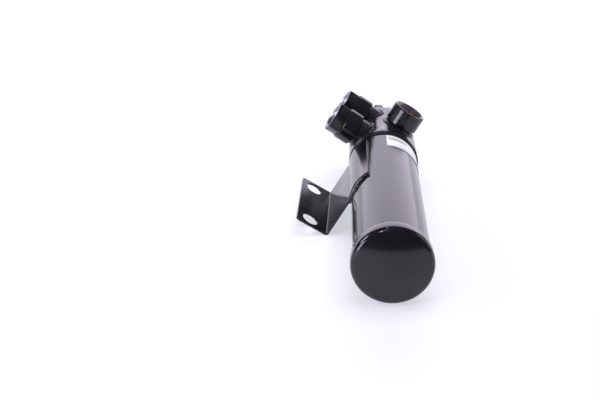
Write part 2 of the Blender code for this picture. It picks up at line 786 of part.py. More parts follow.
def service_valve():
    frame = tank_frame(VALVE_X, 0, VALVE_Z)
    low = HEAD_END + 0.009 - VALVE_LENGTH
    high = low + VALVE_LENGTH
    floor = low + VALVE_FLOOR
    edge = VALVE_R - 0.0006
    profile = [
        (edge, high),
        (VALVE_R, high - 0.0006),
        (VALVE_R, low),
        (0, low),
        (0, floor),
        (VALVE_BORE_R, floor),
        (VALVE_BORE_R, high),
    ]
    body = add_part("service_valve", valve_mesh(profile), "bare_steel", frame)
    add_screw(body, 20)
    pin_low = floor + VALVE_PIN_TRAVEL + GAP
    profile = [
        (0, high + VALVE_PIN_PROUD),
        (VALVE_PIN_R, high + VALVE_PIN_PROUD),
        (VALVE_PIN_R, pin_low),
        (0, pin_low),
    ]
    turned("service_valve_pin", profile, "brass", frame, 12, closed=False)


def valve_mesh(profile):
    """The body's profile in two chains, down the outside to the axis and from the axis up the blind bore."""
    mesh = bpy.data.meshes.new("service_valve")
    bm = bmesh.new()
    verts = [bm.verts.new((radius, 0, height)) for radius, height in profile]
    for i, (first, second) in enumerate(zip(verts, verts[1:] + verts[:1])):
        on_axis = profile[i][0] == 0 and profile[(i + 1) % len(profile)][0] == 0
        if not on_axis:
            bm.edges.new((first, second))
    bm.to_mesh(mesh)
    bm.free()
    return mesh


# Insides.
def perforated_plate(name, low):
    frame = tank_frame()
    fit_r = SHELL_INNER_R - GAP
    profile = ring_profile(fit_r, PICKUP_R + GAP, low, low + PLATE_THICKNESS)
    plate = turned(name, profile, "bare_steel", frame, TANK_STEPS)
    for i, (radius, count) in enumerate(PERFORATIONS):
        label = f"{name}_holes_{i + 1}"
        holes = rods_mesh(label, PERFORATION_R, low - GAP, low + PLATE_THICKNESS + GAP, on_circle(radius, count), 8)
        cut(plate, add_cutter(label, holes, frame))
    return low + PLATE_THICKNESS + GAP


def packed_disc(name, low, thickness, finish):
    profile = ring_profile(SHELL_INNER_R - GAP, PICKUP_R + GAP, low, low + thickness)
    turned(name, profile, finish, tank_frame(), TANK_STEPS)
    return low + thickness + GAP


def drying_bed():
    level = perforated_plate("lower_plate", LOWER_PLATE_Y)
    level = packed_disc("lower_felt", level, FELT_THICKNESS, "felt")
    level = packed_disc("desiccant_bed", level, BED_LENGTH, "beads")
    level = packed_disc("upper_felt", level, FELT_THICKNESS, "felt")
    level = perforated_plate("upper_plate", level)
    low = level + RETAINER_SPRING_WIRE_R
    high = low + RETAINER_SPRING_LENGTH
    points = coil_points(RETAINER_SPRING_R, low, high, RETAINER_SPRING_TURNS)
    wire("retainer_spring", points, RETAINER_SPRING_WIRE_R, "spring_steel", tank_frame(), resolution=1)
    perforated_plate("spring_stop", high + RETAINER_SPRING_WIRE_R + GAP)


def pickup_tube():
    """Runs along the axis from the sump, and bends into the bore of the outlet's neck."""
    along, offset, start = OUTLET_PLACE
    reach = CUP_INNER_R - NECK_INTRUSION + PICKUP_INTO_NECK
    offset -= (start - reach) * math.tan(COUPLING_TILT)
    turn_y = along - reach
    first = Vector((0, PICKUP_SUMP, 0))
    start_point = Vector((0, turn_y, 0))
    end_point = tank_point(reach, offset, along)
    reach_in = (0.6 * reach) * ALONG
    reach_out = (0.6 * reach) * COUPLING_AXIS
    points = [first]
    for i in range(13):
        t = i / 12
        a = start_point
        b = start_point + reach_in
        c = end_point - reach_out
        d = end_point
        points.append(a * (1 - t) ** 3 + b * 3 * t * (1 - t) ** 2 + c * 3 * t**2 * (1 - t) + d * t**3)
    tube = wire("pickup_tube", points, PICKUP_R - PICKUP_WALL / 2, "bare_steel", Matrix(), caps=False)
    solidify = tube.modifiers.new("wall", "SOLIDIFY")
    solidify.thickness = PICKUP_WALL
    solidify.offset = 0


# Label.
def label():
    bm = bmesh.new()
    radius = SHELL_R + GAP + LABEL_THICKNESS / 2
    start = Vector((radius * math.sin(LABEL_START), LABEL_Y, radius * math.cos(LABEL_START)))
    first = bm.verts.new(start)
    second = bm.verts.new(start + ALONG * LABEL_WIDTH)
    edge = bm.edges.new((first, second))
    bmesh.ops.spin(
        bm, geom=[first, second, edge], axis=(0, 1, 0), cent=(0, 0, 0), angle=LABEL_SWEEP, steps=18
    )
    mesh = bpy.data.meshes.new("label")
    bm.to_mesh(mesh)
    bm.free()
    sheet = add_part("label", mesh, "paper", Matrix())
    solidify = sheet.modifiers.new("paper", "SOLIDIFY")
    solidify.thickness = LABEL_THICKNESS
    solidify.offset = 0


def set_down():
    """Puts the centre of the object's footprint at the world's origin, with its lowest point at z = 0."""
    bpy.context.view_layer.update()
    graph = bpy.context.evaluated_depsgraph_get()
    corners = []
    for obj in PARTS.objects:
        if obj.type == "EMPTY":
            continue
        solid = obj.evaluated_get(graph)
        mesh = solid.to_mesh()
        corners += [obj.matrix_world @ vert.co for vert in mesh.vertices]
        solid.to_mesh_clear()
    low = [min(point[i] for point in corners) for i in range(3)]
    high = [max(point[i] for point in corners) for i in range(3)]
    REST.location = (-(low[0] + high[0]) / 2, -(low[1] + high[1]) / 2, -low[2])


shell_tube()
bottom_cap()
head_cup()
seam_welds()
mounting_bracket()
bracket_edge_weld()
bracket_under_weld()
couplings()
sight_glass()
fusible_plug()
service_valve()
drying_bed()
pickup_tube()
label()
set_down()
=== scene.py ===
import math

import bmesh
import bpy
from mathutils import Matrix, Vector, noise


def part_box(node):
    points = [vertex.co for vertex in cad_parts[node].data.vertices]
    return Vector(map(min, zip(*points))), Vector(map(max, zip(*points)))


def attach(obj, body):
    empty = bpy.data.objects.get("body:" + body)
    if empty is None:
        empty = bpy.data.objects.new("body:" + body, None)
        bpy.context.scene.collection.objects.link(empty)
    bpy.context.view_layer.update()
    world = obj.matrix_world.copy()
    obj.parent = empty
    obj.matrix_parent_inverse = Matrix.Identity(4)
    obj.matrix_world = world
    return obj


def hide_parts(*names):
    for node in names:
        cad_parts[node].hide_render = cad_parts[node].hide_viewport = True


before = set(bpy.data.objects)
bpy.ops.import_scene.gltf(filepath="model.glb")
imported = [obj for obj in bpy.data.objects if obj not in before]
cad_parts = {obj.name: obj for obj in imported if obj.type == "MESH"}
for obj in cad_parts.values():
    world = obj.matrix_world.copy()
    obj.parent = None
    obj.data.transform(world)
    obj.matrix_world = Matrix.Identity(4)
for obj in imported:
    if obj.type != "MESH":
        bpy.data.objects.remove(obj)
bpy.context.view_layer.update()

# Tube. A plain length of 76 mm drawn steel tube, the body of the receiver-drier. It is closed by a cup
# at each end and sprayed black over everything, so it shows a smooth semi-gloss enamel with a fine
# orange peel. The faint lengthwise drawing lines under the real paint are not drawn.
FIT = 0.0003
ROLL = math.radians(30.6)
PORT = Vector((-math.cos(ROLL), 0, math.sin(ROLL)))
GLASS = Vector((math.sin(ROLL), 0, math.cos(ROLL)))
ALONG = Vector((0, 1, 0))
TUBE_R = 0.038
TUBE_WALL = 0.002
tube_low, tube_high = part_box("shell_tube")
TANK = Vector(((tube_low.x + tube_high.x) / 2, tube_low.y - FIT, (tube_low.z + tube_high.z) / 2))
TUBE_END = tube_high.y - TANK.y


def along_axis(origin, z_axis, x_axis):
    """Where a turned piece goes: its own Z is the axis it is turned on, its origin measured from the tank."""
    turn = Matrix((x_axis, z_axis.cross(x_axis), z_axis)).transposed().to_4x4()
    return Matrix.Translation(TANK + origin) @ turn


ON_TANK = along_axis(Vector((0, 0, 0)), ALONG, Vector((1, 0, 0)))


def lathe(points, steps, closed=True):
    """Turns a profile of (radius, height) points, which runs down the outside and, if closed, up the bore."""
    bm = bmesh.new()
    rim = [bm.verts.new((radius, 0, height)) for radius, height in points]
    pairs = list(zip(rim, rim[1:])) + ([(rim[-1], rim[0])] if closed else [])
    chain = [bm.edges.new(pair) for pair in pairs]
    bmesh.ops.spin(
        bm, geom=rim + chain, cent=(0, 0, 0), axis=(0, 0, 1), angle=2 * math.pi, steps=steps, use_merge=True
    )
    bmesh.ops.remove_doubles(bm, verts=bm.verts, dist=0.000001)
    bmesh.ops.recalc_face_normals(bm, faces=bm.faces)
    return bm


def arc(centre_r, centre_z, across, along, start, end, steps):
    points = []
    for i in range(steps + 1):
        angle = math.radians(start + (end - start) * i / steps)
        points.append((centre_r + across * math.cos(angle), centre_z + along * math.sin(angle)))
    return points


def make_piece(name, bm, place, material, replaced=(), body="canister", sharp=35):
    """Turns a finished bmesh into a named piece that rides on its body."""
    bm.transform(place)
    mesh = bpy.data.meshes.new(name)
    bm.to_mesh(mesh)
    bm.free()
    mesh.shade_smooth()
    mesh.set_sharp_from_angle(angle=math.radians(sharp))
    piece = bpy.data.objects.new(name, mesh)
    bpy.context.scene.collection.objects.link(piece)
    mesh.materials.append(material)
    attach(piece, body)
    if replaced:
        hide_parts(*replaced)
    return piece


def soften(piece, width, segments=3, angle=32):
    bevel = piece.modifiers.new("worn_edges", "BEVEL")
    bevel.width = width
    bevel.segments = segments
    bevel.limit_method = "ANGLE"
    bevel.angle_limit = math.radians(angle)
    bevel.harden_normals = False


def carve(piece, bm, place, operation="DIFFERENCE"):
    """Cuts a solid out of a piece, and throws the solid away."""
    bm.transform(place)
    mesh = bpy.data.meshes.new("cutter")
    bm.to_mesh(mesh)
    bm.free()
    tool = bpy.data.objects.new("cutter", mesh)
    bpy.context.scene.collection.objects.link(tool)
    boolean = piece.modifiers.new("cut", "BOOLEAN")
    boolean.object = tool
    boolean.operation = operation
    boolean.solver = "EXACT"
    bpy.context.view_layer.update()
    graph = bpy.context.evaluated_depsgraph_get()
    done = bpy.data.meshes.new_from_object(piece.evaluated_get(graph), depsgraph=graph)
    piece.modifiers.clear()
    piece.data = done
    bpy.data.objects.remove(tool)
    done.shade_smooth()
    done.set_sharp_from_angle(angle=math.radians(35))


def linear(hex_colour):
    """An sRGB hex colour as the linear colour that a shader takes."""
    parts = [int(hex_colour[i : i + 2], 16) / 255 for i in (1, 3, 5)]
    return (*[c / 12.92 if c <= 0.04045 else ((c + 0.055) / 1.055) ** 2.4 for c in parts], 1)


def add(tree, kind, values=None, **settings):
    """Adds a node with its settings. A value is a number, or the output of another node."""
    made = tree.nodes.new(kind)
    for key, value in settings.items():
        setattr(made, key, value)
    for key, value in (values or {}).items():
        if isinstance(value, bpy.types.NodeSocket):
            tree.links.new(value, made.inputs[key])
        else:
            made.inputs[key].default_value = value
    return made


def start_finish(name, metallic, ior=1.5):
    """A new material with its shader, and Object coordinates in metres."""
    material = bpy.data.materials.new(name)
    material.use_nodes = True
    tree = material.node_tree
    shader = tree.nodes["Principled BSDF"]
    shader.inputs["Metallic"].default_value = metallic
    shader.inputs["IOR"].default_value = ior
    return material, tree, shader, add(tree, "ShaderNodeTexCoord").outputs["Object"]


def vary(tree, where, size, detail=3.0, spread=(0.0, 1.0)):
    """Noise with patches of a real size in metres, spread between two numbers."""
    cloud = add(tree, "ShaderNodeTexNoise", {"Vector": where, "Scale": 1 / size, "Detail": detail})
    ranged = {"Value": cloud.outputs["Fac"], "From Min": 0.3, "From Max": 0.7}
    ranged.update({"To Min": spread[0], "To Max": spread[1]})
    return add(tree, "ShaderNodeMapRange", ranged).outputs["Result"]


def blend_colours(tree, amount, first, second):
    mixed = add(tree, "ShaderNodeMix", {0: amount, 6: first, 7: second}, data_type="RGBA")
    return mixed.outputs[2]


def raise_surface(tree, shader, heights):
    """Bump from several (height, distance in metres, strength), laid one on the other."""
    normal = None
    for height, distance, strength in heights:
        values = {"Height": height, "Distance": distance, "Strength": strength}
        if normal:
            values["Normal"] = normal
        normal = add(tree, "ShaderNodeBump", values).outputs["Normal"]
    tree.links.new(normal, shader.inputs["Normal"])


# Sprayed black enamel on steel: near black and glossy, IOR 1.5. Its colour drifts a little in patches of
# 30 mm, its gloss in patches of 9 mm, and its orange peel is 1.4 mm across and a few microns high.
PEEL = 0.0014


def black_enamel(name, rough, dark="#0b0b0d", light="#17171b", peel_height=0.000003):
    material, tree, shader, where = start_finish(name, 0.0)
    tint = vary(tree, where, 0.030, detail=1.0)
    tree.links.new(blend_colours(tree, tint, linear(dark), linear(light)), shader.inputs["Base Color"])
    gloss = vary(tree, where, 0.009, detail=1.0, spread=rough)
    tree.links.new(gloss, shader.inputs["Roughness"])
    peel = vary(tree, where, PEEL, detail=1.0)
    grit = vary(tree, where, 0.0004, detail=2.0)
    raise_surface(tree, shader, [(peel, peel_height, 0.5), (grit, 0.000001, 0.4)])
    return material


ENAMEL = black_enamel("sprayed_black_enamel", (0.13, 0.17))
TUBE_BORE_R = TUBE_R - TUBE_WALL
tube = lathe([(TUBE_R, TUBE_END), (TUBE_R, FIT), (TUBE_BORE_R, FIT), (TUBE_BORE_R, TUBE_END)], 160)
make_piece("tube", tube, ON_TANK, ENAMEL, ["shell_tube"])

# Bottom cap. A deep-drawn steel cup pushed over the tube's end, with a rolled shoulder and a shallow
# dished face. Pressing leaves it smoother than the tube.
CAP_WALL = 0.002
CAP_R = TUBE_R + FIT + CAP_WALL
CAP_SKIRT = 0.0081
CAP_DOME = 0.0165
CAP_CROWN_R = 0.091
CAP_KNUCKLE_R = 0.007


def dished(rim_r, knuckle_r, crown_r, face, steps):
    """Half a dished end, from its straight wall to its middle: a tight knuckle, then a shallow crown."""
    lean = math.degrees(math.asin((rim_r - knuckle_r) / (crown_r - knuckle_r)))
    bottom = face + crown_r
    knuckle_z = bottom - (crown_r - knuckle_r) * math.cos(math.radians(lean))
    knuckle = arc(rim_r - knuckle_r, knuckle_z, knuckle_r, -knuckle_r, 0, 90 - lean, steps)
    crown = arc(0, bottom, crown_r, -crown_r, 90 - lean, 90, steps)
    return knuckle + crown[1:]


outside = dished(CAP_R, CAP_KNUCKLE_R, CAP_CROWN_R, -CAP_DOME, 20)
outside[-1] = (0, outside[-1][1])
inside = dished(TUBE_R + FIT, CAP_KNUCKLE_R - CAP_WALL, CAP_CROWN_R - CAP_WALL, CAP_WALL - CAP_DOME, 16)[::-1]
inside[0] = (0, inside[0][1])
lip = arc(CAP_R - CAP_WALL / 2, CAP_SKIRT - CAP_WALL / 2, CAP_WALL / 2, CAP_WALL / 2, 180, 0, 6)
cap = lathe(inside + lip + outside, 160, closed=False)
CAP_ENAMEL = black_enamel("sprayed_black_enamel_on_pressing", (0.12, 0.16), dark="#0c0b10", light="#15141c")
make_piece("bottom_cap_pressing", cap, ON_TANK, CAP_ENAMEL, ["bottom_cap"])

# Nib on the cap. A drop of weld spatter about 4 mm across that the paint has covered, on the shoulder.
NIB_ANGLE = math.radians(-9)
NIB_R = 0.0021
NIB_OUT = 0.0385
NIB_BELOW = 0.0063
nib = bmesh.new()
bmesh.ops.create_uvsphere(nib, u_segments=24, v_segments=16, radius=NIB_R)
bmesh.ops.scale(nib, verts=nib.verts, vec=(1.0, 1.15, 0.8))
nib_out = Vector((math.sin(NIB_ANGLE), 0, math.cos(NIB_ANGLE)))
nib_place = Matrix.Translation(TANK + nib_out * NIB_OUT - ALONG * NIB_BELOW)
make_piece("cap_spatter_nib", nib, nib_place, CAP_ENAMEL)


# Seam welds. One ring of MIG bead closes each cup against the tube. Each overlapping ripple is about
# 2.5 mm long, and the paint over it is thinner and glossier on the crests.
RIPPLE = 0.0025
WELD_ENAMEL = black_enamel("black_enamel_over_weld", (0.10, 0.20), peel_height=0.00001)


def ripple_at(travel, side):
    """Height share of a bead's ripples: crescents that trail back from the bead's middle."""
    wave = (travel + side * side * RIPPLE * 0.8) / RIPPLE
    lump = noise.noise(Vector((travel * 180, side * 1.5, 4.0)))
    return 0.65 * abs(math.sin(math.pi * wave)) ** 0.6 + 0.45 * (0.5 + lump)


def seam_bead(name, low, high, rise, replaced, wander):
    middle, half, foot = (low + high) / 2, (high - low) / 2, TUBE_R + 0.0001
    section = arc(foot, middle, rise, half, 90, -90, 10)
    bm = lathe(section, 720)
    for vert in bm.verts:
        radius = math.hypot(vert.co.x, vert.co.y)
        if radius < foot + rise * 0.1:
            continue
        angle = math.atan2(vert.co.y, vert.co.x)
        side = (vert.co.z - middle) / half
        share = 0.45 + 0.55 * ripple_at(angle * TUBE_R, side)
        grown = foot + (radius - foot) * share
        vert.co.x *= grown / radius
        vert.co.y *= grown / radius
        vert.co.z += wander * math.sin(angle * 5) * (1 - abs(side))
    make_piece(name, bm, ON_TANK, WELD_ENAMEL, [replaced], sharp=60)


HEAD_Y = 0.2645
BOTTOM_BEAD = 0.0030
HEAD_BEAD = 0.0040
seam_bead("bottom_seam", CAP_SKIRT + FIT, CAP_SKIRT + FIT + BOTTOM_BEAD, 0.0015, "bottom_seam_weld", 0.0)
seam_bead("head_seam", HEAD_Y - FIT - HEAD_BEAD, HEAD_Y - FIT, 0.0019, "head_seam_weld", 0.0002)

# Head. A longer drawn cup over the tube's far end that carries every fitting. Its open end is rolled out
# into a shallow band 13 mm long, and its shoulder is a tight round before the almost flat face.
HEAD_WALL = 0.0014
HEAD_R = TUBE_R + FIT + HEAD_WALL
HEAD_STRAIGHT = 0.0883
HEAD_STRAIGHT_END = HEAD_Y + HEAD_STRAIGHT
HEAD_DOME = 0.014
HEAD_END = HEAD_STRAIGHT_END + HEAD_DOME
STUB_INSIDE = 0.002
HEAD_FLAT_R = 0.018
BAND = 0.013
BAND_RISE = 0.0006
outside = arc(HEAD_FLAT_R, HEAD_STRAIGHT_END, HEAD_R - HEAD_FLAT_R, HEAD_DOME, 90, 0, 26)
inner_dome = HEAD_DOME - HEAD_WALL
inside = arc(HEAD_FLAT_R, HEAD_STRAIGHT_END, TUBE_R + FIT - HEAD_FLAT_R, inner_dome, 0, 90, 18)
band = [(HEAD_R, HEAD_Y + BAND + 0.003), (HEAD_R + BAND_RISE * 0.5, HEAD_Y + BAND + 0.0012)]
band += [(HEAD_R + BAND_RISE, HEAD_Y + BAND), (HEAD_R + BAND_RISE, HEAD_Y + 0.0006)]
band += [(HEAD_R + BAND_RISE - 0.0005, HEAD_Y), (TUBE_R + FIT, HEAD_Y)]
head = lathe([(0, HEAD_END)] + outside + band + inside + [(0, HEAD_END - HEAD_WALL)], 160, closed=False)
HEAD_ENAMEL = black_enamel("sprayed_black_enamel_on_head", (0.16, 0.21), dark="#141418", light="#202027")
head_piece = make_piece("head_pressing", head, ON_TANK, HEAD_ENAMEL, ["head_cup"])

OUTLET = (0.2940, 0.0091, 0.0442)
INLET = (0.3330, 0.0182, 0.0365)
TILT = math.radians(2.8)
COUPLING_AXIS = PORT * math.cos(TILT) + GLASS * math.sin(TILT)
NECK_R = 0.0165
BOSS_NECK_R = 0.0165
GLASS_Y = 0.3050
PLUG_X, PLUG_Z, PLUG_BOSS_R = -0.0038, 0.0280, 0.0075
VALVE_X, VALVE_Z, VALVE_R = 0.0096, 0.0300, 0.0046
FITTING_DEPTH = 0.008
ON_GLASS = along_axis(ALONG * GLASS_Y, GLASS, -ALONG)


def on_coupling(place):
    y, offset, start = place
    return along_axis(ALONG * y + GLASS * offset + PORT * start, COUPLING_AXIS, -ALONG)


def rod(radius, low, high, segments=64):
    bm = bmesh.new()
    middle = Matrix.Translation((0, 0, (low + high) / 2))
    bmesh.ops.create_cone(
        bm, cap_ends=True, segments=segments, radius1=radius, radius2=radius, depth=high - low, matrix=middle
    )
    return bm


for place in (OUTLET, INLET):
    carve(head_piece, rod(NECK_R + FIT, -place[2] * 0.9, 0.03), on_coupling(place))
carve(head_piece, rod(BOSS_NECK_R + FIT, HEAD_R / 2, 0.061), ON_GLASS)
for x, z, radius in ((PLUG_X, PLUG_Z, PLUG_BOSS_R), (VALVE_X, VALVE_Z, VALVE_R)):
    hole = rod(radius + FIT, HEAD_STRAIGHT_END - FITTING_DEPTH, HEAD_END + FITTING_DEPTH, 32)
    carve(head_piece, hole, along_axis(Vector((x, 0, z)), ALONG, Vector((1, 0, 0))))

# Mounting bracket. A strip of 2.3 mm steel sheet pressed to a saddle that hugs the tube, then run down as
# a flat web and folded out to a flange with two round-ended bolt slots. It was cut on a press, so its
# edges are square with a small rolled burr.
SHEET = 0.0023
SADDLE_ANGLE = math.radians(28.3)
BRACKET_Y = 0.149
BRACKET_LENGTH = 0.105
FLANGE_WIDTH = 0.0395
FOLD_SKEW = 0.0064
FOLD_R = 0.0035
FLANGE_CORNER_R = 0.004
SLOT_WIDTH = 0.018
SLOT_LENGTH = 0.020
SLOT_INSET = 0.0235
SLOT_MARGIN = 0.014
SADDLE_R = TUBE_R + FIT + SHEET / 2
WEB_P = SADDLE_R * math.cos(SADDLE_ANGLE)
FOLD_MIDDLE = FOLD_R - SHEET / 2
FLANGE_Q = -((CAP_R - FOLD_R + (WEB_P + FOLD_MIDDLE) * math.sin(ROLL)) / math.cos(ROLL) + FOLD_MIDDLE)


def tank_point(port, glass, y):
    return TANK + PORT * port + GLASS * glass + ALONG * y


path = arc(0, 0, SADDLE_R, SADDLE_R, math.degrees(SADDLE_ANGLE), -math.degrees(SADDLE_ANGLE), 32)
path += arc(WEB_P + FOLD_MIDDLE, FLANGE_Q + FOLD_MIDDLE, FOLD_MIDDLE, FOLD_MIDDLE, 180, 270, 10)
path += [(WEB_P - SHEET / 2 + FLANGE_WIDTH, FLANGE_Q)]
bm = bmesh.new()
near = [bm.verts.new(tank_point(p, q, BRACKET_Y)) for p, q in path]
edges = [bm.edges.new(pair) for pair in zip(near, near[1:])]
far = [v for v in bmesh.ops.extrude_edge_only(bm, edges=edges)["geom"] if isinstance(v, bmesh.types.BMVert)]
bmesh.ops.translate(bm, verts=far, vec=ALONG * BRACKET_LENGTH)
skewed = [v for v in far if (v.co - TANK).dot(GLASS) < path[32][1] - SHEET]
bmesh.ops.translate(bm, verts=skewed, vec=GLASS * FOLD_SKEW)
corners = [v for v in bm.verts if (v.co - TANK).dot(PORT) > WEB_P + FLANGE_WIDTH - SHEET * 2]
bmesh.ops.bevel(
    bm, geom=corners, offset=FLANGE_CORNER_R, segments=8, affect="VERTICES", profile=0.5, material=-1
)
BRACKET_ENAMEL = black_enamel("sprayed_black_enamel_on_sheet", (0.15, 0.20), dark="#070709", light="#0f0f12")
bracket = make_piece("bracket_sheet", bm, Matrix(), BRACKET_ENAMEL, ["mounting_bracket"])
wall = bracket.modifiers.new("sheet", "SOLIDIFY")
wall.thickness = SHEET
wall.offset = 0
wall.use_even_offset = True
for along in (SLOT_MARGIN, BRACKET_LENGTH - SLOT_MARGIN):
    slot = rod(SLOT_WIDTH / 2, -SHEET * 2, SHEET * 2)
    bmesh.ops.rotate(slot, verts=slot.verts, matrix=Matrix.Rotation(math.pi / 64, 3, "Z"))
    for vert in slot.verts:
        vert.co.x += math.copysign((SLOT_LENGTH - SLOT_WIDTH) / 2, vert.co.x)
    run = (ALONG * BRACKET_LENGTH + GLASS * FOLD_SKEW).normalized()
    lean = FOLD_SKEW * along / BRACKET_LENGTH
    centre = tank_point(WEB_P - SHEET / 2 + SLOT_INSET, FLANGE_Q + lean, BRACKET_Y + along)
    carve(bracket, slot, along_axis(centre - TANK, run.cross(PORT) * -1, run))
soften(bracket, 0.00045)

# Bracket welds. A fat hand-laid fillet runs round the saddle's near edge, widest half way, with lumps and
# craters where the gun paused. A thin stitch runs along the tube under the web.
FILLET_RISE = 0.0026
FILLET_AT_ENDS = 0.004
FILLET_SWELL = 0.008


def fillet_width(angle):
    return FILLET_AT_ENDS + FILLET_SWELL * math.cos(angle / SADDLE_ANGLE * math.pi / 2) ** 2


fillet = bmesh.new()
bmesh.ops.create_grid(fillet, x_segments=150, y_segments=40, size=1)
for vert in fillet.verts:
    across, run = vert.co.x, (vert.co.y + 1) / 2
    angle = across * SADDLE_ANGLE
    lump = noise.noise(Vector((across * 7, run * 1.6, 2.0)))
    width = fillet_width(angle) * (1 + 0.16 * noise.noise(Vector((across * 5, 0, 7.0))) * run)
    hill = math.sin(math.pi * min(1.0, 0.06 + 0.94 * (1 - run) ** 0.8)) ** 0.5 if run < 1 else 0.0
    ripple = ripple_at(across * SADDLE_ANGLE * TUBE_R, run * 2 - 1)
    height = FILLET_RISE * hill * (0.72 + 0.18 * ripple + 0.25 * lump)
    radius = TUBE_R + 0.0001 + max(0.0, min(FILLET_RISE, height))
    vert.co = tank_point(radius * math.cos(angle), radius * math.sin(angle), BRACKET_Y - FIT - run * width)
rim = [edge for edge in fillet.edges if edge.is_boundary]
down = bmesh.ops.extrude_edge_only(fillet, edges=rim)["geom"]
for vert in [v for v in down if isinstance(v, bmesh.types.BMVert)]:
    flat = vert.co - TANK
    inward = Vector((flat.x, 0, flat.z)).normalized()
    vert.co -= inward * (math.hypot(flat.x, flat.z) - TUBE_R - 0.00003)
bmesh.ops.holes_fill(fillet, edges=[e for e in fillet.edges if e.is_boundary], sides=0)
bmesh.ops.recalc_face_normals(fillet, faces=fillet.faces)
make_piece("bracket_fillet", fillet, Matrix(), WELD_ENAMEL, ["bracket_edge_weld"], sharp=60)

STITCH_R = 0.0014
STITCH_INSET = 0.006
stitch_p = WEB_P - SHEET / 2 - FIT - STITCH_R
stitch_q = -math.sqrt((TUBE_R + FIT + STITCH_R) ** 2 - stitch_p**2)
stitch = rod(STITCH_R, BRACKET_Y + STITCH_INSET, BRACKET_Y + BRACKET_LENGTH - STITCH_INSET, 16)
rungs = [edge for edge in stitch.edges if abs(edge.verts[0].co.z - edge.verts[1].co.z) > 0.001]
bmesh.ops.subdivide_edges(stitch, edges=rungs, cuts=280, use_grid_fill=True)
for vert in stitch.verts:
    share = 0.80 + 0.20 * ripple_at(vert.co.z, 0.0)
    vert.co.x *= share
    vert.co.y *= share
stitch_place = along_axis(PORT * stitch_p + GLASS * stitch_q, ALONG, Vector((1, 0, 0)))
make_piece(
    "bracket_stitch", stitch, stitch_place, WELD_ENAMEL, ["bracket_under_weld"], sharp=60
)

# Couplings. Two steel hose couplings turned from hexagon bar: a round collar next to the head, a cone, then
# six flats out to a chamfered mouth. They were milled after turning, so on the real part the flats are
# flatter and shinier than the collar under the same paint; here one enamel covers the whole coupling.
COUPLING_LENGTH = 0.0317
COLLAR_R = 0.0195
COLLAR_LENGTH = 0.0170
CORNER_R = 0.0178
FLATS = 0.0320
FLAT_LENGTH = 0.0139
CHAMFER = 0.0012
CHAMBER_R = 0.0130
LEDGE_R = 0.008
SPIGOT_R = 0.011
SOCKET = 0.004
LEDGE = 0.0015
CONE = 0.0015
COUPLING_SPIN = math.radians(5)
COUPLING_ENAMEL = black_enamel("black_enamel_on_turned_steel", (0.14, 0.20), peel_height=0.000002)

# Masked bores. The threads are covered while the rest is sprayed, so they stay bare machined steel, with
# tool marks 0.25 mm apart and a film of light oil.
BARE_STEEL, tree, shader, where = start_finish("machined_steel_bore", 1.0)
tool_marks = vary(tree, where, 0.00025, detail=1.0)
steel_colour = blend_colours(tree, tool_marks, linear("#c4c4d2"), linear("#8f8fa0"))
tree.links.new(steel_colour, shader.inputs["Base Color"])
tree.links.new(vary(tree, where, 0.002, spread=(0.28, 0.42)), shader.inputs["Roughness"])
raise_surface(tree, shader, [(tool_marks, 0.000006, 0.5)])
THREAD_PITCH = 0.0015
THREAD_DEPTH = 0.0005


def thread(radius, top, turns):
    """Ridges of a threaded bore, from its inner end out to the mouth."""
    points = []
    for i in range(turns, 0, -1):
        low = top - i * THREAD_PITCH
        points += [(radius, low), (radius + THREAD_DEPTH, low + THREAD_PITCH / 2)]
    return points + [(radius, top)]


def bare_bore(piece, place, radius, low):
    """Gives the faces inside a bore the bare steel, and leaves the paint on the rest."""
    piece.data.materials.append(BARE_STEEL)
    back = place.inverted()
    for face in piece.data.polygons:
        spot = back @ face.center
        facing = (back.to_3x3() @ face.normal).dot(Vector((spot.x, spot.y, 0)))
        if math.hypot(spot.x, spot.y) < radius and spot.z > low and facing < 0:
            face.material_index = 1


for name, place in (("inlet", INLET), ("outlet", OUTLET)):
    profile = [
        (CHAMBER_R + CHAMFER, COUPLING_LENGTH),
        (CORNER_R - CHAMFER, COUPLING_LENGTH),
        (CORNER_R, COUPLING_LENGTH - CHAMFER),
        (CORNER_R, COLLAR_LENGTH + CONE),
        (COLLAR_R - 0.0003, COLLAR_LENGTH + 0.0002),
        (COLLAR_R, COLLAR_LENGTH - 0.0002),
        (COLLAR_R, CHAMFER),
        (COLLAR_R - CHAMFER, 0),
        (SPIGOT_R + FIT, 0),
        (SPIGOT_R + FIT, SOCKET),
        (LEDGE_R, SOCKET),
        (LEDGE_R, SOCKET + LEDGE),
        (CHAMBER_R, SOCKET + LEDGE),
    ]
    profile += thread(CHAMBER_R, COUPLING_LENGTH - CHAMFER, 4)
    turned, seat = lathe(profile, 128), on_coupling(place)
    piece = make_piece(
        name + "_hex_coupling", turned, seat, COUPLING_ENAMEL, [name + "_coupling"]
    )
    flats = bmesh.new()
    depth = COLLAR_R - FLATS / 2 + 0.002
    for i in range(6):
        turn = Matrix.Rotation(COUPLING_SPIN + math.radians(60 * i), 4, "Z")
        shift = Matrix.Translation((FLATS / 2 + depth / 2, 0, COUPLING_LENGTH - FLAT_LENGTH / 2 + 0.001))
        size = Matrix.Diagonal((depth, FLATS * 0.55, FLAT_LENGTH + 0.002, 1))
        bmesh.ops.create_cube(flats, size=1, matrix=turn @ shift @ size)
    carve(piece, flats, on_coupling(place))
    carve(piece, rod(HEAD_R + BAND_RISE + FIT, HEAD_Y, HEAD_STRAIGHT_END, 160), ON_TANK)
    bare_bore(piece, on_coupling(place), CHAMBER_R + CHAMFER, SOCKET)
    soften(piece, 0.00035, 2, angle=45)

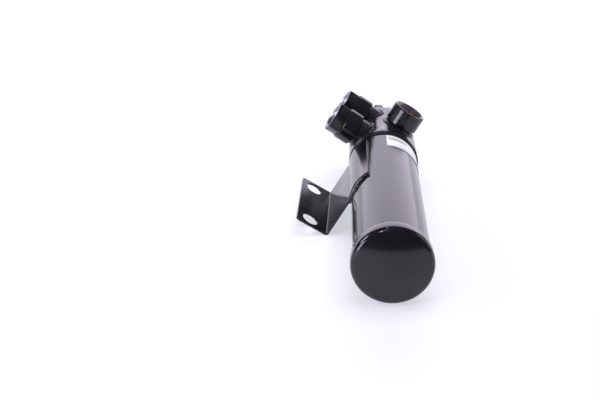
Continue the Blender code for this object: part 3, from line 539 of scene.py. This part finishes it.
# Necks. A short turned stub joins each coupling to the head, set in a hole in its wall and welded all round.
NECK_BORE_R = 0.008
NECK_ENAMEL = black_enamel("thin_black_enamel_on_stub", (0.22, 0.30), dark="#17171b", light="#26262b")
for name, place in (("inlet", INLET), ("outlet", OUTLET)):
    low = -place[2] * 0.9
    profile = [(SPIGOT_R, SOCKET - FIT), (SPIGOT_R, -FIT), (NECK_R, -FIT), (NECK_R, low), (NECK_BORE_R, low)]
    profile += [(NECK_BORE_R, SOCKET - FIT)]
    stub = make_piece(
        name + "_stub", lathe(profile, 96), on_coupling(place), NECK_ENAMEL, [name + "_neck"]
    )
    carve(stub, rod(TUBE_R + FIT - STUB_INSIDE, HEAD_Y, HEAD_STRAIGHT_END, 160), ON_TANK)


# Fitting welds. A rippled fillet lies in the corner between the head and each stub, and follows the
# curve where the two round walls meet.
def lie_on_head(name, place, inner, width, rise, node):
    """Lays a ring of fillet in the corner round a stub, with its foot on the head's round wall."""
    section = [(inner + width, -0.0004), (inner - 0.0002, -0.0004), (inner - 0.0002, rise)]
    shares = (0.2, 0.4, 0.6, 0.8, 0.93)
    section += [(inner + width * t, rise * math.cos(t * math.pi / 2) ** 0.8) for t in shares]
    bm = lathe(section, 480)
    origin = place.translation - TANK
    cross, up, axis = (place.col[i].xyz for i in range(3))
    for vert in bm.verts:
        angle = math.atan2(vert.co.y, vert.co.x)
        out = cross * math.cos(angle) + up * math.sin(angle)
        spot = origin + out * inner
        flat, lean = Vector((spot.x, spot.z)), Vector((axis.x, axis.z))
        b = flat.dot(lean)
        root = b * b - lean.length_squared * (flat.length_squared - HEAD_R**2)
        corner = spot + axis * (-b + math.sqrt(root)) / lean.length_squared
        wall = Vector((corner.x, 0, corner.z)).normalized()
        away = (out - wall * out.dot(wall)).normalized()
        side = math.hypot(vert.co.x, vert.co.y) - inner
        ripple = 0.66 + 0.34 * ripple_at(angle * inner, side / width)
        vert.co = corner + away * side * (0.8 + 0.2 * ripple) + wall * vert.co.z * ripple
    bmesh.ops.recalc_face_normals(bm, faces=bm.faces)
    make_piece(name, bm, Matrix.Translation(TANK), WELD_ENAMEL, [node], sharp=60)


for name, place in (("inlet", INLET), ("outlet", OUTLET)):
    lie_on_head(name + "_stub_fillet", on_coupling(place), NECK_R, 0.0026, 0.0018, name + "_neck_weld")

# Sight glass boss. A turned steel barrel, 39 mm across, set square to the couplings and welded on. Its
# mouth has a flat rim with a broad chamfer, and its wall is bored for the glass.
BOSS_R = 0.0197
BOSS_FOOT = 0.0410
BOSS_TOP = 0.0612
BOSS_RIM = 0.0030
BOSS_CHAMFER = 0.0014
BOSS_BORE_R = 0.0100
MOUTH_CHAMFER = 0.0006
RECESS = 0.0150
RECESS_R = BOSS_R - BOSS_RIM
profile = [
    (RECESS_R + MOUTH_CHAMFER, BOSS_TOP),
    (BOSS_R - BOSS_CHAMFER, BOSS_TOP),
    (BOSS_R, BOSS_TOP - BOSS_CHAMFER),
    (BOSS_R, BOSS_FOOT + 0.0008),
    (BOSS_R - 0.0006, BOSS_FOOT + FIT),
    (BOSS_NECK_R, BOSS_FOOT + FIT),
    (BOSS_NECK_R, HEAD_R / 2),
    (BOSS_BORE_R, HEAD_R / 2),
    (BOSS_BORE_R, BOSS_TOP - RECESS),
    (RECESS_R, BOSS_TOP - RECESS),
] + thread(RECESS_R, BOSS_TOP - MOUTH_CHAMFER, 3)
boss = make_piece(
    "sight_glass_barrel", lathe(profile, 160), ON_GLASS, COUPLING_ENAMEL, ["sight_glass_boss"]
)
carve(boss, rod(TUBE_R + FIT - STUB_INSIDE, HEAD_Y, HEAD_STRAIGHT_END, 160), ON_TANK)
bare_bore(boss, ON_GLASS, RECESS_R + MOUTH_CHAMFER, BOSS_TOP - RECESS)
soften(boss, 0.0003, 2, angle=45)
lie_on_head("sight_glass_fillet", ON_GLASS, BOSS_NECK_R, 0.0050, 0.0020, "sight_glass_weld")


def dress(node, material, softened=0.0):
    """Gives a CAD node that keeps its own shape its real finish."""
    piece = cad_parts[node]
    piece.data.materials.clear()
    piece.data.materials.append(material)
    if softened:
        soften(piece, softened, 2)


# Brass fittings. The glass's castellated ring nut, the poppets and the valve's pin are turned from
# free-cutting brass: warm yellow, with turning lines 0.3 mm apart and darker tarnish in
# patches of 3 mm.
brass, tree, shader, where = start_finish("turned_brass", 1.0)
tarnish = vary(tree, where, 0.003)
brass_colour = blend_colours(tree, tarnish, linear("#d8b878"), linear("#97794a"))
tree.links.new(brass_colour, shader.inputs["Base Color"])
tree.links.new(vary(tree, where, 0.002, spread=(0.34, 0.50)), shader.inputs["Roughness"])
raise_surface(tree, shader, [(vary(tree, where, 0.0003, detail=1.0), 0.00001, 0.6)])
for node in ("sight_glass_ring", "inlet_poppet", "outlet_poppet", "service_valve_pin"):
    dress(node, brass)

# Plated steel. The cages, guides, plates, pickup tube and valve body are zinc-plated: pale blue-grey metal
# with a satin spangle about 1 mm across.
zinc, tree, shader, where = start_finish("bright_zinc_plate", 1.0)
spangle = add(tree, "ShaderNodeTexVoronoi", {"Vector": where, "Scale": 1 / 0.001}).outputs["Distance"]
zinc_colour = blend_colours(tree, spangle, linear("#b9bcc6"), linear("#8d909c"))
tree.links.new(zinc_colour, shader.inputs["Base Color"])
tree.links.new(vary(tree, where, 0.002, spread=(0.24, 0.38)), shader.inputs["Roughness"])
raise_surface(tree, shader, [(spangle, 0.000008, 0.4)])
for node in ("inlet_cage", "outlet_cage", "inlet_guide", "outlet_guide", "lower_plate", "upper_plate"):
    dress(node, zinc)
for node in ("spring_stop", "pickup_tube", "fusible_plug_washer", "service_valve"):
    dress(node, zinc)
dress("fusible_plug_boss", ENAMEL)
dress("fusible_plug", NECK_ENAMEL, 0.0004)

# Springs. Hard-drawn wire with fine lengthwise draw marks and a trace of oil.
spring_steel, tree, shader, where = start_finish("drawn_spring_wire", 1.0)
draw_marks = vary(tree, where, 0.0004)
wire_colour = blend_colours(tree, draw_marks, linear("#9b9ba0"), linear("#66666c"))
tree.links.new(wire_colour, shader.inputs["Base Color"])
tree.links.new(vary(tree, where, 0.001, spread=(0.2, 0.35)), shader.inputs["Roughness"])
raise_surface(tree, shader, [(draw_marks, 0.000005, 0.5)])
for node in ("inlet_poppet_spring", "outlet_poppet_spring", "retainer_spring"):
    dress(node, spring_steel)

# Seals. Moulded black nitrile rubber with a matt bloom.
rubber, tree, shader, where = start_finish("moulded_nitrile_rubber", 0.0, 1.52)
bloom = vary(tree, where, 0.0012)
tree.links.new(blend_colours(tree, bloom, linear("#141416"), linear("#232326")), shader.inputs["Base Color"])
tree.links.new(vary(tree, where, 0.002, spread=(0.55, 0.72)), shader.inputs["Roughness"])
raise_surface(tree, shader, [(bloom, 0.00001, 0.4)])
for node in ("inlet_seal", "outlet_seal", "sight_glass_gasket"):
    dress(node, rubber)

# Sight glass. A ground disc of soda-lime glass, with a faint dusty film.
glass, tree, shader, where = start_finish("ground_soda_lime_glass", 0.0, 1.52)
film = vary(tree, where, 0.004)
tree.links.new(blend_colours(tree, film, linear("#dfe9e4"), linear("#c7d3cd")), shader.inputs["Base Color"])
tree.links.new(vary(tree, where, 0.003, spread=(0.02, 0.08)), shader.inputs["Roughness"])
shader.inputs["Transmission Weight"].default_value = 0.9
dress("sight_glass_lens", glass)

# Filter felt and drying beads. Needled glass-fibre felt discs hold in a bed of tan molecular-sieve beads
# 2 mm across.
felt, tree, shader, where = start_finish("needled_filter_felt", 0.0)
fibre = vary(tree, where, 0.0008, detail=6.0)
tree.links.new(blend_colours(tree, fibre, linear("#cfcabd"), linear("#a9a497")), shader.inputs["Base Color"])
shader.inputs["Roughness"].default_value = 0.92
raise_surface(tree, shader, [(fibre, 0.0003, 0.8)])
for node in ("lower_felt", "upper_felt"):
    dress(node, felt)
beads, tree, shader, where = start_finish("molecular_sieve_beads", 0.0)
packed = add(tree, "ShaderNodeTexVoronoi", {"Vector": where, "Scale": 1 / 0.002}).outputs["Distance"]
tree.links.new(blend_colours(tree, packed, linear("#d8c6a4"), linear("#7c6a4e")), shader.inputs["Base Color"])
shader.inputs["Roughness"].default_value = 0.85
raise_surface(tree, shader, [(packed, 0.0008, 1.0)])
dress("desiccant_bed", beads)

# Label. A strip of white coated paper, 35 mm wide, stuck round the tube. It carries one printed row of
# plain grey marks and a thin rule, with no words.
LABEL_Y = 0.221
LABEL_WIDTH = 0.035
LABEL_START = math.radians(2.5)
LABEL_SWEEP = math.radians(103)
PAPER = 0.00014
MARK_PITCH = 0.0028
label_bm = bmesh.new()
label_r = TUBE_R + FIT + PAPER / 2
first = label_bm.verts.new((label_r * math.sin(LABEL_START), LABEL_Y, label_r * math.cos(LABEL_START)))
second = label_bm.verts.new(first.co + ALONG * LABEL_WIDTH)
edge = label_bm.edges.new((first, second))
bmesh.ops.spin(label_bm, geom=[first, second, edge], axis=ALONG, cent=(0, 0, 0), angle=LABEL_SWEEP, steps=72)
bmesh.ops.recalc_face_normals(label_bm, faces=label_bm.faces)
layout = label_bm.loops.layers.uv.new("UVMap")
for face in label_bm.faces:
    for loop in face.loops:
        turn = math.atan2(loop.vert.co.x, loop.vert.co.z) - LABEL_START
        loop[layout].uv = (turn * label_r, loop.vert.co.y - LABEL_Y)
paper, tree, shader, where = start_finish("coated_label_paper", 0.0)
flat_place = add(tree, "ShaderNodeUVMap", uv_map="UVMap").outputs["UV"]
split = add(tree, "ShaderNodeSeparateXYZ", {"Vector": flat_place})


def between(value, low, high):
    above = add(tree, "ShaderNodeMath", {0: value, 1: low}, operation="GREATER_THAN").outputs[0]
    below = add(tree, "ShaderNodeMath", {0: value, 1: high}, operation="LESS_THAN").outputs[0]
    return add(tree, "ShaderNodeMath", {0: above, 1: below}, operation="MULTIPLY").outputs[0]


def both(first, second):
    return add(tree, "ShaderNodeMath", {0: first, 1: second}, operation="MULTIPLY").outputs[0]


marks = add(tree, "ShaderNodeMath", {0: split.outputs["X"], 1: MARK_PITCH}, operation="MODULO").outputs[0]
row = both(between(split.outputs["Y"], 0.0225, 0.0265), between(split.outputs["X"], 0.003, 0.0245))
row = both(row, between(marks, 0.0003, 0.0019))
rule = both(between(split.outputs["Y"], 0.0195, 0.0202), between(split.outputs["X"], 0.003, 0.060))
inked = add(tree, "ShaderNodeMath", {0: row, 1: rule}, operation="MAXIMUM").outputs[0]
sheet_colour = blend_colours(tree, vary(tree, where, 0.006), linear("#f4f4f8"), linear("#e6e6ec"))
tree.links.new(blend_colours(tree, inked, sheet_colour, linear("#3a3a46")), shader.inputs["Base Color"])
shader.inputs["Roughness"].default_value = 0.45
raise_surface(tree, shader, [(vary(tree, where, 0.0006), 0.000008, 0.4)])
strip = make_piece("label_strip", label_bm, Matrix.Translation(TANK), paper, ["label"])
thick = strip.modifiers.new("paper", "SOLIDIFY")
thick.thickness = PAPER
thick.offset = 0

# Floor. A wide sheet of matt white paper that sweeps off behind, plain and without a seam.
floor_bm = bmesh.new()
bmesh.ops.create_grid(floor_bm, x_segments=2, y_segments=2, size=40)
floor_mesh = bpy.data.meshes.new("floor")
floor_bm.to_mesh(floor_mesh)
floor_bm.free()
floor = bpy.data.objects.new("floor", floor_mesh)
bpy.context.scene.collection.objects.link(floor)
backdrop, tree, shader, where = start_finish("lit_white_backdrop", 0.0)
shader.inputs["Base Color"].default_value = linear("#9c9ca4")
shader.inputs["Roughness"].default_value = 0.6
shader.inputs["Emission Color"].default_value = linear("#f6f7ff")
shader.inputs["Emission Strength"].default_value = 0.62
floor_mesh.materials.append(backdrop)

# Light. The floor glows softly like a light table, in a dim room. A tall softbox stands behind the tank,
# two at the left and one at the right, and a polarised light and a bare bulb hang overhead.
world = bpy.data.worlds.new("studio")
bpy.context.scene.world = world
world.use_nodes = True
sky = world.node_tree.nodes["Background"]
sky.inputs["Color"].default_value = linear("#efe9ff")
sky.inputs["Strength"].default_value = 0.17


def softbox(name, place, aim, size, brightness, colour="#ffffff", mirrored=True):
    """A rectangular softbox with its front of an even brightness, where the lit floor has about 0.9.
    One that isn't mirrored shines through a crossed polariser, so it shows in no gloss."""
    lamp = bpy.data.lights.new(name, "AREA")
    lamp.shape = "RECTANGLE"
    lamp.size, lamp.size_y = size
    lamp.energy = brightness * math.pi * size[0] * size[1]
    lamp.color = linear(colour)[:3]
    holder = bpy.data.objects.new(name, lamp)
    bpy.context.scene.collection.objects.link(holder)
    holder.location = place
    holder.rotation_euler = (Vector(aim) - Vector(place)).to_track_quat("-Z", "Y").to_euler()
    holder.visible_glossy = mirrored


softbox("back_softbox", (0.0, 2.2, 1.0), (0, 0, 1.0), (2.8, 1.9), 2.0, "#f3ebff")
softbox("front_left_softbox", (-1.65, -1.05, 0.42), (0, 0, 0.05), (0.8, 0.7), 9.0, "#e9edff")
softbox("left_softbox", (-1.9, 0.0, 1.15), (0, 0, 0.05), (0.9, 0.7), 7.0, "#f4f3ff")
softbox("right_softbox", (2.2, 0.6, 0.9), (0, 0, 0), (1.2, 1.6), 1.2)
softbox("polarised_top_light", (0.3, 0.1, 2.0), (0, 0, 0), (1.8, 1.8), 3.6, mirrored=False)
softbox("bare_bulb", (-0.5, -0.8, 1.3), (0, 0, 0), (0.10, 0.10), 70.0)

# Camera. It stands in front of the bottom cap and looks down along the tank, a little to its right.
LENS = 66
YAW = math.radians(-2.15)
PITCH = math.radians(22.82)
ahead = Vector((math.sin(YAW) * math.cos(PITCH), math.cos(YAW) * math.cos(PITCH), -math.sin(PITCH)))
side = Vector((math.cos(YAW), -math.sin(YAW), 0))
lens = bpy.data.cameras.new("camera")
lens.sensor_width = 36
lens.lens = LENS
lens.clip_start = 0.01
camera = bpy.data.objects.new("camera", lens)
bpy.context.scene.collection.objects.link(camera)
camera.matrix_world = Matrix((side, side.cross(ahead), -ahead)).transposed().to_4x4()
camera.location = TANK + Vector((-0.0523, -0.9375, 0.4584))
bpy.context.scene.camera = camera
bpy.context.scene.view_settings.view_transform = "Standard"
